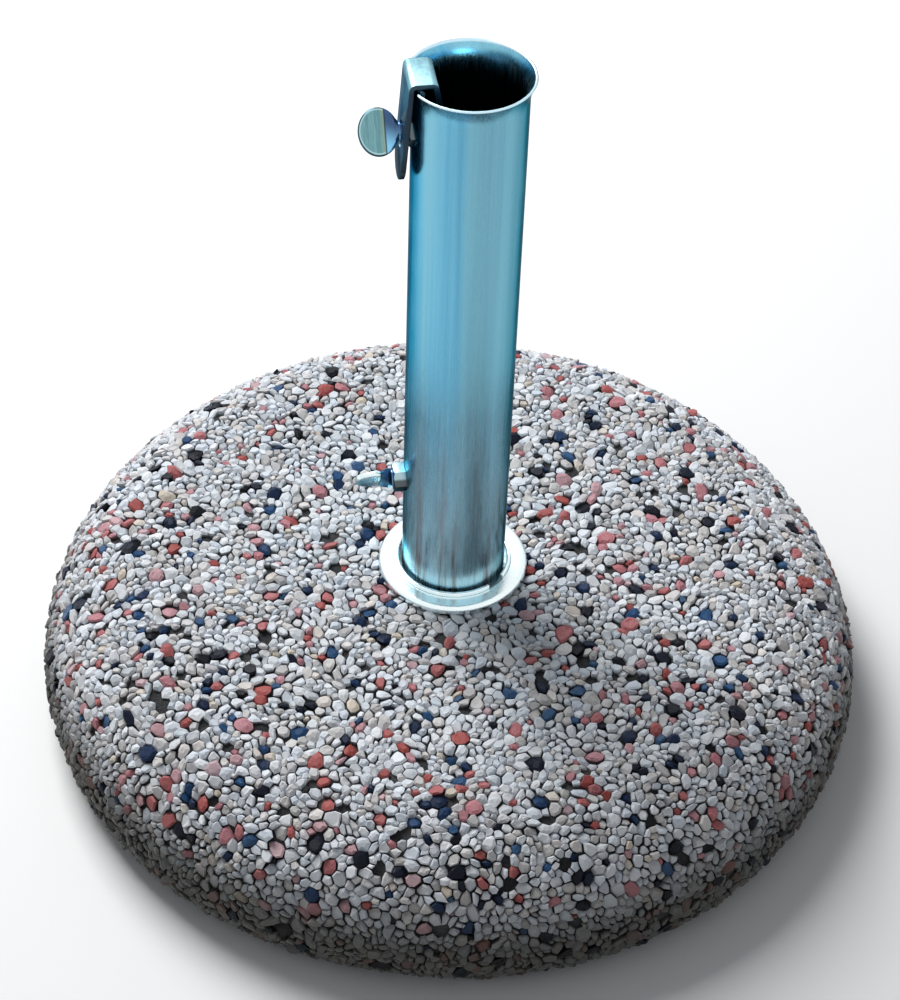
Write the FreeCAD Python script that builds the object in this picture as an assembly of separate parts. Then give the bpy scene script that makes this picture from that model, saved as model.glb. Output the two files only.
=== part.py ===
"""Parasol base: a washed-concrete slab with a zinc-plated pole socket.

Millimetres, +Z up. The origin is the centre of the slab's underside. Pieces of the
clamp are drawn in a clamp frame (x outward from the tube, y around it, z up) and are
then turned about Z to the side on which the thumb screws stand.
"""

import FreeCAD, Part
import math
import os

Vec = FreeCAD.Vector
Z_AXIS = Vec(0, 0, 1)
X_AXIS = Vec(1, 0, 0)
ORIGIN = Vec(0, 0, 0)

# ---- driving dimensions ------------------------------------------------------------

# concrete slab
SLAB_RADIUS = 215.0
SLAB_HEIGHT = 80.0
SHOULDER_RADIUS = 58.0       # rounding of the upper edge
FOOT_TUCK = 12.0             # how far the underside draws in
DRAIN_RADIUS = 8.0
CAST_GAP = 0.1               # between concrete and the steel cast into it

# upright tube that takes the pole
TUBE_RADIUS = 26.5
TUBE_WALL = 1.5
RIM_TOP = 380.0              # height of the rim above the ground
FLARE_OUT = 2.8              # how far the lip stands out from the tube
FLARE_HEIGHT = 7.0
FLARE_BEND = 9.0             # bend radius where the flare starts
LIP_ROUNDING = 0.45          # share of the wall that rounds each edge of the lip
SEAT_HALF_WIDTH = 13.5       # half of the unflared stretch under the strap

# sleeve, floor and reinforcement cast into the slab
SLEEVE_WALL = 2.0
SLEEVE_FOOT = 10.0           # height of the floor's underside
FLOOR_THICKNESS = 3.0
SLIDE_FIT = 0.1              # radial gap of a hand fit
WIRE_EDGE_DISTANCE = 65.0    # from the slab's edge in to the wire ring
WIRE_RADIUS = 3.0
WIRE_HEIGHT = 34.0
SPOKE_RADIUS = 4.0
SPOKE_COUNT = 4
SPOKE_OVERRUN = 8.0          # how far a spoke runs past the wire ring
WELD_GAP = 0.05

# ring and split collar on top of the slab
FLANGE_WIDTH = 8.4
FLANGE_HEIGHT = 4.0
FLANGE_EDGE = 2.6
COLLAR_TUBE_GAP = 1.5
COLLAR_WALL = 2.0
COLLAR_HEIGHT = 6.0
COLLAR_EDGE = 0.8
COLLAR_GAP_ANGLE = 20.0
COLLAR_GAP_MIDDLE = -38.0

# weld nuts
SCREW_RADIUS = 4.0
NUT_ACROSS_FLATS = 13.0
NUT_PILOT_RADIUS = 5.5
NUT_CHAMFER = 0.8
NUT_STRAP_GAP = 0.3          # between the upper nut and the strap's leg
LOWER_NUT_HEIGHT = 5.6
THREAD_GAP = 0.05

# thumb screws
CLAMP_AZIMUTH = 192.0
UPPER_SCREW_DROP = 27.5      # from the rim down to the upper screw
LOWER_SCREW_RISE = 63.0      # from the slab's top up to the lower screw
HEAD_ACROSS = 22.0
HEAD_ALONG = 18.5
HEAD_THICKNESS = 3.0
HEAD_EDGE = 1.1
NECK_RADIUS = 4.6
NECK_LENGTH = 2.4
PLATE_START = 0.1            # from the neck's foot to the flat head
CHEEK_LENGTH = 5.5
SPIGOT_RADIUS = 2.6
SPIGOT_LENGTH = 5.0
SPIGOT_END_GAP = 0.2
SPIGOT_GAP = 0.05
SCREW_TIP_RADIUS = 2.5
SCREW_TIP_LENGTH = 1.5
UPPER_HEAD_TURN = -46.5      # turn of the flat head about the screw, 0 is level
LOWER_HEAD_TURN = 56.0
HEAD_SEAT_GAP = 0.4

# clamp strap hooked over the rim
STRAP_WIDTH = 22.0
STRAP_THICKNESS = 2.2
STRAP_BEND = 0.8             # inner bend radius
STRAP_SEAT_GAP = 0.9
STRAP_SIDE_GAP = 0.4
LEG_SPLAY = 3.9
LEG_STRAIGHT = 41.5          # outer leg down to where its round end starts
TONGUE_SETBACK = 4.2         # from the rocking line on the rim in to the tongue
TONGUE_SLANT = 12.0
TONGUE_STRAIGHT = 32.0
SLOT_HALF_WIDTH = 4.6
SLOT_ABOVE = 0.4
SLOT_BELOW = 3.8
TONGUE_GAP = 0.3             # between the upper screw's tip and the tongue

# ---- derived sizes -----------------------------------------------------------------

WIDEST_Z = SLAB_HEIGHT - SHOULDER_RADIUS
BORE_RADIUS = TUBE_RADIUS - TUBE_WALL
SLEEVE_INNER = TUBE_RADIUS + SLIDE_FIT
SLEEVE_OUTER = SLEEVE_INNER + SLEEVE_WALL
TUBE_FOOT = SLEEVE_FOOT + FLOOR_THICKNESS + WELD_GAP
FLARE_FOOT = RIM_TOP - FLARE_HEIGHT
SPOKE_Z = WIRE_HEIGHT + WIRE_RADIUS + SPOKE_RADIUS + WELD_GAP
WIRE_RING_RADIUS = SLAB_RADIUS - WIRE_EDGE_DISTANCE
COLLAR_INNER_RADIUS = TUBE_RADIUS + COLLAR_TUBE_GAP
COLLAR_OUTER = COLLAR_INNER_RADIUS + COLLAR_WALL
FLANGE_INNER = COLLAR_OUTER + SLIDE_FIT
FLANGE_RADIUS = FLANGE_INNER + FLANGE_WIDTH
UPPER_SCREW_Z = RIM_TOP - UPPER_SCREW_DROP
LOWER_SCREW_Z = SLAB_HEIGHT + LOWER_SCREW_RISE
STRAP_HALF = STRAP_WIDTH / 2.0

# strap's faces at the level of the rim, in the clamp frame
LEG_INNER_X = TUBE_RADIUS + STRAP_SIDE_GAP
STRAP_SEAT_Z = RIM_TOP + STRAP_SEAT_GAP
PIVOT_X = math.sqrt(BORE_RADIUS ** 2 - STRAP_HALF ** 2)
TONGUE_OUTER_X = PIVOT_X - TONGUE_SETBACK


def slope(angle):
    """Sideways run per unit of height of a face that leans by angle."""
    return math.tan(math.radians(angle))


def leg_inner_x(z):
    """Inner face of the strap's outer leg at height z."""
    return LEG_INNER_X + (STRAP_SEAT_Z - z) * slope(LEG_SPLAY)


def leg_outer_x(z):
    """Outer face of the strap's outer leg at height z."""
    return leg_inner_x(z) + STRAP_THICKNESS / math.cos(math.radians(LEG_SPLAY))


def tongue_outer_x(z):
    """Face of the tongue that the upper screw presses, at height z."""
    return TONGUE_OUTER_X - (STRAP_SEAT_Z - z) * slope(TONGUE_SLANT)


UPPER_NUT_HEIGHT = leg_inner_x(UPPER_SCREW_Z + NUT_ACROSS_FLATS / 2.0) - NUT_STRAP_GAP - TUBE_RADIUS
UPPER_HEAD_X = leg_outer_x(UPPER_SCREW_Z - NECK_RADIUS) + HEAD_SEAT_GAP
LOWER_HEAD_X = TUBE_RADIUS + LOWER_NUT_HEIGHT + HEAD_SEAT_GAP
STUD_LENGTH = UPPER_HEAD_X - tongue_outer_x(UPPER_SCREW_Z + SCREW_TIP_RADIUS) - TONGUE_GAP


# ---- drawing helpers ---------------------------------------------------------------

def rounded_outline(corners):
    """Closed face in the XZ plane from (x, z, radius) corners, each rounded by an arc."""
    points = [Vec(x, 0, z) for x, z, _ in corners]
    count = len(points)
    starts, ends, middles = [], [], []
    for i, (_, _, radius) in enumerate(corners):
        corner = points[i]
        back = (points[i - 1] - corner).normalize()
        ahead = (points[(i + 1) % count] - corner).normalize()
        half = back.getAngle(ahead) / 2.0
        reach = radius / math.tan(half)
        starts.append(corner + back * reach)
        ends.append(corner + ahead * reach)
        bisector = (back + ahead)
        if radius > 0:
            centre = corner + bisector.normalize() * (radius / math.sin(half))
            middles.append(centre + (corner - centre).normalize() * radius)
        else:
            middles.append(None)
    edges = []
    for i in range(count):
        if middles[i] is not None:
            edges.append(Part.Arc(starts[i], middles[i], ends[i]).toShape())
        nxt = (i + 1) % count
        if ends[i].distanceToPoint(starts[nxt]) > 1e-6:
            edges.append(Part.LineSegment(ends[i], starts[nxt]).toShape())
    return Part.Face(Part.Wire(edges))


def turned(corners):
    """Solid of revolution about Z from (radius, z, corner radius) corners."""
    return rounded_outline(corners).revolve(ORIGIN, Z_AXIS, 360)


def ring(inner, outer, low, high):
    """Plain ring about Z."""
    body = Part.makeCylinder(outer, high - low, Vec(0, 0, low))
    return body.cut(Part.makeCylinder(inner, high - low, Vec(0, 0, low)))


def rod(radius, x_from, x_to, z):
    """Cylinder along the clamp frame's x axis at height z."""
    return Part.makeCylinder(radius, x_to - x_from, Vec(x_from, 0, z), X_AXIS)


def cone(radius_from, radius_to, x_from, x_to, z):
    """Cone along the clamp frame's x axis at height z."""
    return Part.makeCone(radius_from, radius_to, x_to - x_from, Vec(x_from, 0, z), X_AXIS)


def to_clamp_side(shape):
    """Turn a shape from the clamp frame to the side with the screws."""
    placed = shape.copy()
    placed.rotate(ORIGIN, Z_AXIS, CLAMP_AZIMUTH)
    return placed


# ---- pieces cast into the slab -----------------------------------------------------

def wire_ring(grow=0.0):
    """Reinforcement ring of round wire."""
    return Part.makeTorus(WIRE_RING_RADIUS, WIRE_RADIUS + grow, Vec(0, 0, WIRE_HEIGHT))


def spokes(grow=0.0):
    """Anchor spokes from the sleeve out over the wire ring, one solid each."""
    start = SLEEVE_OUTER + WELD_GAP - grow
    length = WIRE_RING_RADIUS + SPOKE_OVERRUN - start + grow
    bars = []
    for i in range(SPOKE_COUNT):
        bar = Part.makeCylinder(SPOKE_RADIUS + grow, length, Vec(start, 0, SPOKE_Z), X_AXIS)
        bar = bar.cut(Part.makeCylinder(SLEEVE_OUTER + WELD_GAP - grow, SLAB_HEIGHT))
        bar.rotate(ORIGIN, Z_AXIS, 45.0 + i * 360.0 / SPOKE_COUNT)
        bars.append(bar)
    return bars


def anchor_sleeve():
    """Tube cast into the slab, which holds the upright."""
    return ring(SLEEVE_INNER, SLEEVE_OUTER, SLEEVE_FOOT, SLAB_HEIGHT)


def sleeve_floor():
    """Disc in the sleeve's foot with a drain hole; the upright stands on it."""
    return ring(DRAIN_RADIUS, SLEEVE_INNER - WELD_GAP, SLEEVE_FOOT, SLEEVE_FOOT + FLOOR_THICKNESS)


def concrete_slab():
    """Round slab with a large upper rounding and a drawn-in underside."""
    tuck_radius = (FOOT_TUCK ** 2 + WIDEST_Z ** 2) / (2.0 * FOOT_TUCK)
    tuck_angle = math.asin(WIDEST_Z / tuck_radius) / 2.0
    flat_radius = SLAB_RADIUS - SHOULDER_RADIUS
    diagonal = SHOULDER_RADIUS * math.sqrt(0.5)
    top_inner = Vec(0, 0, SLAB_HEIGHT)
    top_edge = Vec(flat_radius, 0, SLAB_HEIGHT)
    shoulder = Vec(flat_radius + diagonal, 0, WIDEST_Z + diagonal)
    widest = Vec(SLAB_RADIUS, 0, WIDEST_Z)
    tuck = Vec(SLAB_RADIUS - tuck_radius * (1.0 - math.cos(tuck_angle)), 0,
               WIDEST_Z - tuck_radius * math.sin(tuck_angle))
    foot = Vec(SLAB_RADIUS - FOOT_TUCK, 0, 0)
    outline = Part.Wire([
        Part.LineSegment(ORIGIN, foot).toShape(),
        Part.Arc(foot, tuck, widest).toShape(),
        Part.Arc(widest, shoulder, top_edge).toShape(),
        Part.LineSegment(top_edge, top_inner).toShape(),
        Part.LineSegment(top_inner, ORIGIN).toShape(),
    ])
    slab = Part.Face(outline).revolve(ORIGIN, Z_AXIS, 360)
    socket_low = SLEEVE_FOOT - CAST_GAP
    socket = Part.makeCylinder(SLEEVE_OUTER + CAST_GAP, SLAB_HEIGHT - socket_low, Vec(0, 0, socket_low))
    drain = Part.makeCylinder(DRAIN_RADIUS, SLEEVE_FOOT)
    return slab.cut([socket, drain, wire_ring(CAST_GAP)] + spokes(CAST_GAP))


# ---- upright and the pieces around it ----------------------------------------------

def upright_tube():
    """Round tube with a flared lip, left straight under the strap, and two nut holes."""
    lip = TUBE_RADIUS + FLARE_OUT
    edge = TUBE_WALL * LIP_ROUNDING
    joint = FLARE_FOOT - FLARE_BEND
    seat_angle = 2.0 * math.degrees(math.asin(SEAT_HALF_WIDTH / lip))
    lower = ring(BORE_RADIUS, TUBE_RADIUS, TUBE_FOOT, joint)
    flared = rounded_outline([
        (BORE_RADIUS, joint, 0), (TUBE_RADIUS, joint, 0),
        (TUBE_RADIUS, FLARE_FOOT, FLARE_BEND), (lip, RIM_TOP, edge),
        (lip - TUBE_WALL, RIM_TOP, edge), (BORE_RADIUS, FLARE_FOOT, FLARE_BEND),
    ]).revolve(ORIGIN, Z_AXIS, 360.0 - seat_angle)
    flared.rotate(ORIGIN, Z_AXIS, seat_angle / 2.0)
    seat = rounded_outline([
        (BORE_RADIUS, joint, 0), (TUBE_RADIUS, joint, 0),
        (TUBE_RADIUS, RIM_TOP, 0), (BORE_RADIUS, RIM_TOP, 0),
    ]).revolve(ORIGIN, Z_AXIS, seat_angle)
    seat.rotate(ORIGIN, Z_AXIS, -seat_angle / 2.0)
    tube = lower.fuse([flared, seat]).removeSplitter()
    for height in (UPPER_SCREW_Z, LOWER_SCREW_Z):
        tube = tube.cut(rod(NUT_PILOT_RADIUS + WELD_GAP, 0, TUBE_RADIUS + 1.0, height))
    return to_clamp_side(tube)


def flange_ring():
    """Ring that covers the joint between the slab and the upright."""
    top = SLAB_HEIGHT + FLANGE_HEIGHT
    return turned([
        (FLANGE_INNER, SLAB_HEIGHT, 0), (FLANGE_RADIUS, SLAB_HEIGHT, 0),
        (FLANGE_RADIUS, top, FLANGE_EDGE), (FLANGE_INNER, top, COLLAR_EDGE / 2.0),
    ])


def split_collar():
    """Spring collar inside the flange ring, open over a short stretch."""
    top = SLAB_HEIGHT + COLLAR_HEIGHT
    collar = rounded_outline([
        (COLLAR_INNER_RADIUS, SLAB_HEIGHT, 0), (COLLAR_OUTER, SLAB_HEIGHT, 0),
        (COLLAR_OUTER, top, COLLAR_EDGE), (COLLAR_INNER_RADIUS, top, COLLAR_EDGE),
    ]).revolve(ORIGIN, Z_AXIS, 360.0 - COLLAR_GAP_ANGLE)
    collar.rotate(ORIGIN, Z_AXIS, COLLAR_GAP_MIDDLE + COLLAR_GAP_ANGLE / 2.0)
    return collar


def weld_nut(height, z):
    """Hexagon weld nut seated on the tube, with a round pilot in the tube's wall."""
    face = TUBE_RADIUS + height
    corner = NUT_ACROSS_FLATS / math.sqrt(3.0)
    points = []
    for i in range(7):
        angle = math.radians(60.0 * i)
        points.append(Vec(BORE_RADIUS, corner * math.cos(angle), z + corner * math.sin(angle)))
    blank = Part.Face(Part.makePolygon(points)).extrude(Vec(face - BORE_RADIUS, 0, 0))
    bevel = cone(corner + face - BORE_RADIUS, corner - NUT_CHAMFER, BORE_RADIUS, face, z)
    blank = blank.common(bevel)
    blank = blank.cut(Part.makeCylinder(TUBE_RADIUS + WELD_GAP, 2 * corner, Vec(0, 0, z - corner)))
    pilot = rod(NUT_PILOT_RADIUS, BORE_RADIUS, TUBE_RADIUS + height / 2.0, z)
    nut = blank.fuse(pilot).removeSplitter()
    return to_clamp_side(nut.cut(rod(SCREW_RADIUS + THREAD_GAP, 0, face + 1.0, z)))


# ---- thumb screws ------------------------------------------------------------------

def screw_stud(head_x, z):
    """Threaded shank from the head's foot to the pressing tip, with a spigot in the head."""
    tip = head_x - STUD_LENGTH
    shank = rod(SCREW_RADIUS, tip + SCREW_TIP_LENGTH, head_x - SPIGOT_GAP, z)
    nose = cone(SCREW_TIP_RADIUS, SCREW_RADIUS, tip, tip + SCREW_TIP_LENGTH, z)
    spigot = rod(SPIGOT_RADIUS, head_x - 1.0, head_x + SPIGOT_LENGTH, z)
    return to_clamp_side(shank.fuse([nose, spigot]).removeSplitter())


def screw_head(head_x, z, turn):
    """Flat oval head with a round neck and two tapered cheeks, turned about the screw."""
    disc = turned([
        (0, -HEAD_THICKNESS / 2.0, 0), (HEAD_ACROSS / 2.0, -HEAD_THICKNESS / 2.0, HEAD_EDGE),
        (HEAD_ACROSS / 2.0, HEAD_THICKNESS / 2.0, HEAD_EDGE), (0, HEAD_THICKNESS / 2.0, 0),
    ])
    squeeze = FreeCAD.Matrix()
    squeeze.scale(HEAD_ALONG / HEAD_ACROSS, 1.0, 1.0)
    plate = disc.transformGeometry(squeeze)
    plate.translate(Vec(head_x + PLATE_START + HEAD_ALONG / 2.0, 0, z))
    cheek_start = head_x + NECK_LENGTH
    neck = rod(NECK_RADIUS, head_x, cheek_start, z)
    cheeks = cone(NECK_RADIUS, HEAD_THICKNESS / 2.0, cheek_start, cheek_start + CHEEK_LENGTH, z)
    head = plate.fuse([neck, cheeks]).removeSplitter()
    pocket_end = head_x + SPIGOT_LENGTH + SPIGOT_END_GAP
    head = head.cut(rod(SPIGOT_RADIUS + SPIGOT_GAP, head_x - 1.0, pocket_end, z))
    head.rotate(Vec(head_x, 0, z), X_AXIS, turn)
    return to_clamp_side(head)


# ---- clamp strap -------------------------------------------------------------------

def strap_end(length, lean_out, foot_x):
    """Outline of one leg, seen along x: straight sides and a full round end."""
    half = STRAP_HALF
    top = STRAP_SEAT_Z + STRAP_THICKNESS + 1.0
    low = STRAP_SEAT_Z - length * math.cos(math.radians(lean_out))
    reach = half * math.cos(math.radians(lean_out))
    outline = Part.Wire([
        Part.LineSegment(Vec(foot_x, -half, top), Vec(foot_x, half, top)).toShape(),
        Part.LineSegment(Vec(foot_x, half, top), Vec(foot_x, half, low)).toShape(),
        Part.Arc(Vec(foot_x, half, low), Vec(foot_x, 0, low - reach), Vec(foot_x, -half, low)).toShape(),
        Part.LineSegment(Vec(foot_x, -half, low), Vec(foot_x, -half, top)).toShape(),
    ])
    return Part.Face(outline)


def clamp_strap():
    """Flat strap hooked over the rim: splayed outer leg with a slot, and a slanted tongue."""
    top = STRAP_SEAT_Z + STRAP_THICKNESS
    leg_reach = (LEG_STRAIGHT + STRAP_HALF) * math.cos(math.radians(LEG_SPLAY))
    tongue_reach = (TONGUE_STRAIGHT + STRAP_HALF) * math.cos(math.radians(TONGUE_SLANT))
    leg_skin = STRAP_THICKNESS / math.cos(math.radians(LEG_SPLAY))
    tongue_skin = STRAP_THICKNESS / math.cos(math.radians(TONGUE_SLANT))
    leg_lean, tongue_lean = slope(LEG_SPLAY), slope(TONGUE_SLANT)
    leg_end_x = LEG_INNER_X + leg_reach * leg_lean
    tongue_end_x = TONGUE_OUTER_X - tongue_reach * tongue_lean
    outer_bend = STRAP_BEND + STRAP_THICKNESS
    section = rounded_outline([
        (leg_end_x, STRAP_SEAT_Z - leg_reach, 0),
        (LEG_INNER_X, STRAP_SEAT_Z, STRAP_BEND),
        (TONGUE_OUTER_X, STRAP_SEAT_Z, STRAP_BEND),
        (tongue_end_x, STRAP_SEAT_Z - tongue_reach, 0),
        (tongue_end_x - tongue_skin, STRAP_SEAT_Z - tongue_reach, 0),
        (TONGUE_OUTER_X - tongue_skin + STRAP_THICKNESS * tongue_lean, top, outer_bend),
        (LEG_INNER_X + leg_skin - STRAP_THICKNESS * leg_lean, top, outer_bend),
        (leg_end_x + leg_skin, STRAP_SEAT_Z - leg_reach, 0),
    ])
    strap = section.extrude(Vec(0, STRAP_WIDTH, 0))
    strap.translate(Vec(0, -STRAP_HALF, 0))
    middle = (LEG_INNER_X + TONGUE_OUTER_X) / 2.0
    reach = 2.0 * leg_end_x
    leg_side = strap_end(LEG_STRAIGHT, LEG_SPLAY, middle).extrude(Vec(reach, 0, 0))
    tongue_side = strap_end(TONGUE_STRAIGHT, TONGUE_SLANT, middle).extrude(Vec(-reach, 0, 0))
    strap = strap.common(leg_side.fuse(tongue_side))
    slot_width = 2 * SLOT_HALF_WIDTH
    slot_top = UPPER_SCREW_Z + SLOT_ABOVE
    slot_low = UPPER_SCREW_Z - SLOT_BELOW
    slot = rod(SLOT_HALF_WIDTH, middle, reach, slot_top)
    slot = slot.fuse(rod(SLOT_HALF_WIDTH, middle, reach, slot_low))
    slot = slot.fuse(Part.makeBox(reach - middle, slot_width, slot_top - slot_low,
                                  Vec(middle, -SLOT_HALF_WIDTH, slot_low)))
    return to_clamp_side(strap.cut(slot))


# ---- assembly ----------------------------------------------------------------------

def main():
    """Build every piece and write one STEP file per node."""
    pieces = {
        "concrete_slab": concrete_slab(),
        "reinforcement_ring": wire_ring(),
        "anchor_spokes": Part.makeCompound(spokes()),
        "anchor_sleeve": anchor_sleeve(),
        "sleeve_floor": sleeve_floor(),
        "upright_tube": upright_tube(),
        "flange_ring": flange_ring(),
        "split_collar": split_collar(),
        "upper_weld_nut": weld_nut(UPPER_NUT_HEIGHT, UPPER_SCREW_Z),
        "lower_weld_nut": weld_nut(LOWER_NUT_HEIGHT, LOWER_SCREW_Z),
        "clamp_strap": clamp_strap(),
        "upper_screw_stud": screw_stud(UPPER_HEAD_X, UPPER_SCREW_Z),
        "upper_screw_head": screw_head(UPPER_HEAD_X, UPPER_SCREW_Z, UPPER_HEAD_TURN),
        "lower_screw_stud": screw_stud(LOWER_HEAD_X, LOWER_SCREW_Z),
        "lower_screw_head": screw_head(LOWER_HEAD_X, LOWER_SCREW_Z, LOWER_HEAD_TURN),
    }
    os.makedirs("parts", exist_ok=True)
    for name, shape in pieces.items():
        shape.exportStep("parts/" + name + ".step")
        box = shape.optimalBoundingBox()
        print("%-20s valid=%s solids=%d volume=%.1f x[%.2f %.2f] y[%.2f %.2f] z[%.2f %.2f]" % (
            name, shape.isValid(), len(shape.Solids), shape.Volume,
            box.XMin, box.XMax, box.YMin, box.YMax, box.ZMin, box.ZMax))
    print("pivot x %.3f, stud length %.3f, upper head x %.3f, lower head x %.3f" % (
        PIVOT_X, STUD_LENGTH, UPPER_HEAD_X, LOWER_HEAD_X))


main()
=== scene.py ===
"""Parasol base: a washed-concrete slab with a zinc-plated pole socket, a strap clamp and two thumb screws.

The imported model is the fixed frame; this script makes what it looks like. All sizes are in metres.
"""

import logging
import math
from dataclasses import dataclass
from enum import Enum
from typing import Callable, Sequence, Union

import bmesh
import bpy
from mathutils import Matrix, Vector


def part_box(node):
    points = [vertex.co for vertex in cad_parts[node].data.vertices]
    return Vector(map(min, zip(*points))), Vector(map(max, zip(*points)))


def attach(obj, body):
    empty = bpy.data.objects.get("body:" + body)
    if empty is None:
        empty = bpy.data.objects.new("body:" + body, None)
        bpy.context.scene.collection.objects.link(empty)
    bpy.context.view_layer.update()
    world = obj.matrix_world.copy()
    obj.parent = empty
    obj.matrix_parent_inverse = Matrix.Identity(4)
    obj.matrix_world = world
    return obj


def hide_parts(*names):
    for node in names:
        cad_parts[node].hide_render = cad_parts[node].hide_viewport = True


LOG = logging.getLogger("parasol_base")
MM = 0.001
CLAMP_AZIMUTH = 192.0
TUBE_RADIUS = 26.5 * MM
Colour = tuple[float, float, float]
Profile = list[tuple[float, float]]
Stops = Sequence[tuple[float, Colour]]
Output = Union[int, str]


class Body(Enum):
    """The bodies of the frame that pieces ride on."""

    BASE = "base"
    STRAP = "strap"
    UPPER_STUD = "upper_stud"
    UPPER_HEAD = "upper_head"
    LOWER_STUD = "lower_stud"
    LOWER_HEAD = "lower_head"


# ---- node maths --------------------------------------------------------------------


class Wire:
    """A node's output that takes arithmetic; each operation adds one Math node."""

    def __init__(self, graph: "Graph", socket: bpy.types.NodeSocket) -> None:
        """Keep the graph and the socket that this value comes from."""
        self.graph = graph
        self.socket = socket

    def __getitem__(self, output: Output) -> "Wire":
        """Another output of the same node."""
        return Wire(self.graph, self.socket.node.outputs[output])

    def __add__(self, other: "Value") -> "Wire":
        """Sum of two values."""
        return self.graph.math("ADD", self, other)

    __radd__ = __add__

    def __sub__(self, other: "Value") -> "Wire":
        """Difference of two values."""
        return self.graph.math("SUBTRACT", self, other)

    def __rsub__(self, other: "Value") -> "Wire":
        """Difference of a number and this value."""
        return self.graph.math("SUBTRACT", other, self)

    def __mul__(self, other: "Value") -> "Wire":
        """Product of two values."""
        return self.graph.math("MULTIPLY", self, other)

    __rmul__ = __mul__

    def __truediv__(self, other: "Value") -> "Wire":
        """Quotient of two values."""
        return self.graph.math("DIVIDE", self, other)

    def __rtruediv__(self, other: "Value") -> "Wire":
        """Quotient of a number and this value."""
        return self.graph.math("DIVIDE", other, self)


Value = Union[Wire, float]


class Graph:
    """A node tree that nodes are added to; as it stands, one for a material or the world."""

    def __init__(self, tree: bpy.types.NodeTree) -> None:
        """Start from an empty tree."""
        self.tree = tree
        tree.nodes.clear()

    def add(self, kind: str, settings: dict, inputs: dict, output: Output = 0) -> Wire:
        """Add any node.

        Args:
            kind: The node's type name.
            settings: Properties that are set before the sockets, such as an operation.
            inputs: Values or wires by socket name or number; a list joins several wires.
            output: The output that the returned wire stands for.

        Returns:
            The wire of the chosen output.
        """
        node = self.tree.nodes.new(kind)
        for name, value in settings.items():
            if name == "stops":
                self._set_ramp(node.color_ramp, value)
            else:
                setattr(node, name, value)
        for name, value in inputs.items():
            for source in value if isinstance(value, list) else [value]:
                if isinstance(source, Wire):
                    self.tree.links.new(source.socket, node.inputs[name])
                else:
                    node.inputs[name].default_value = source
        return Wire(self, node.outputs[output] if node.outputs else node.inputs[0])

    @staticmethod
    def _set_ramp(ramp: bpy.types.ColorRamp, stops: Stops) -> None:
        """Fill a colour ramp from (place, colour) stops."""
        while len(ramp.elements) < len(stops):
            ramp.elements.new(1.0)
        for element, (place, colour) in zip(ramp.elements, stops):
            element.position = place
            element.color = (*colour, 1.0)

    def math(self, operation: str, *values: Value) -> Wire:
        """A Math node on up to three values."""
        return self.add("ShaderNodeMath", {"operation": operation}, dict(enumerate(values)))

    def vector(self, operation: str, *values: object, output: str = "Vector") -> Wire:
        """A Vector Math node on its values."""
        return self.add("ShaderNodeVectorMath", {"operation": operation}, dict(enumerate(values)), output)

    def split(self, vector: Wire, index: int = 0) -> Wire:
        """One component of a vector; its wire gives the others too."""
        return self.add("ShaderNodeSeparateXYZ", {}, {0: vector}, index)

    def place(self, scale: Colour = (1.0, 1.0, 1.0), turn: float = 0.0) -> Wire:
        """Object coordinates turned about Z by degrees and then stretched."""
        coordinates = self.add("ShaderNodeTexCoord", {}, {}, "Object")
        turned_by = self.add("ShaderNodeVectorRotate", {"rotation_type": "Z_AXIS"},
                             {"Vector": coordinates, "Angle": math.radians(turn)})
        return self.add("ShaderNodeMapping", {}, {"Vector": turned_by, "Scale": scale})

    def axis(self, index: int, turn: float = 0.0) -> Wire:
        """One Object coordinate after a turn about Z by degrees."""
        return self.split(self.place(turn=turn), index)

    def radius(self) -> Wire:
        """Distance from the upright's axis."""
        return self.vector("LENGTH", self.place((1.0, 1.0, 0.0)), output="Value")

    def noise(self, where: Wire, scale: float = 1.0, detail: float = 3.0, rough: float = 0.5) -> Wire:
        """Noise from 0 to 1 at a scale."""
        return self.add("ShaderNodeTexNoise", {},
                        {"Vector": where, "Scale": scale, "Detail": detail, "Roughness": rough})

    def spread(self, value: Wire, low: float, high: float, to_low: float = 0.0, to_high: float = 1.0) -> Wire:
        """Map a range of a value smoothly onto another range, clamped."""
        return self.add("ShaderNodeMapRange", {"interpolation_type": "SMOOTHSTEP"}, {
            "Value": value, "From Min": low, "From Max": high, "To Min": to_low, "To Max": to_high})

    def mix(self, factor: Value, first: Union[Wire, Colour], second: Union[Wire, Colour],
            how: str = "MIX") -> Wire:
        """Mix two colours by a factor."""
        colours = [c if isinstance(c, Wire) else (*c, 1.0) for c in (first, second)]
        return self.add("ShaderNodeMix", {"data_type": "RGBA", "blend_type": how},
                        {0: factor, 6: colours[0], 7: colours[1]}, 2)

    def ramp(self, value: Wire, stops: Stops) -> Wire:
        """Colour of a value along a ramp."""
        return self.add("ShaderNodeValToRGB", {"stops": stops}, {"Fac": value})

    def attribute(self, name: str) -> Wire:
        """A number stored on the mesh."""
        return self.add("ShaderNodeAttribute", {"attribute_name": name}, {}, "Fac")

    def bump(self, height: Wire, distance: float) -> Wire:
        """Normal of a height in metres times distance."""
        return self.add("ShaderNodeBump", {}, {"Height": height, "Distance": distance, "Strength": 1.0})

    def finish(self, **sockets: Union[Wire, float, Colour]) -> None:
        """End the graph in a Principled shader with its sockets given by name."""
        inputs = {}
        for name, value in sockets.items():
            label = name.replace("_", " ").title().replace("Ior", "IOR")
            inputs[label] = (*value, 1.0) if isinstance(value, tuple) else value
        shader = self.add("ShaderNodeBsdfPrincipled", {}, inputs)
        self.add("ShaderNodeOutputMaterial", {}, {"Surface": shader})


def new_material(name: str) -> tuple[bpy.types.Material, Graph]:
    """An empty material and its graph."""
    material = bpy.data.materials.new(name)
    material.use_nodes = True
    return material, Graph(material.node_tree)


# ---- finishes ----------------------------------------------------------------------


Shade = Callable[[Graph, Wire], Wire]


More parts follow.
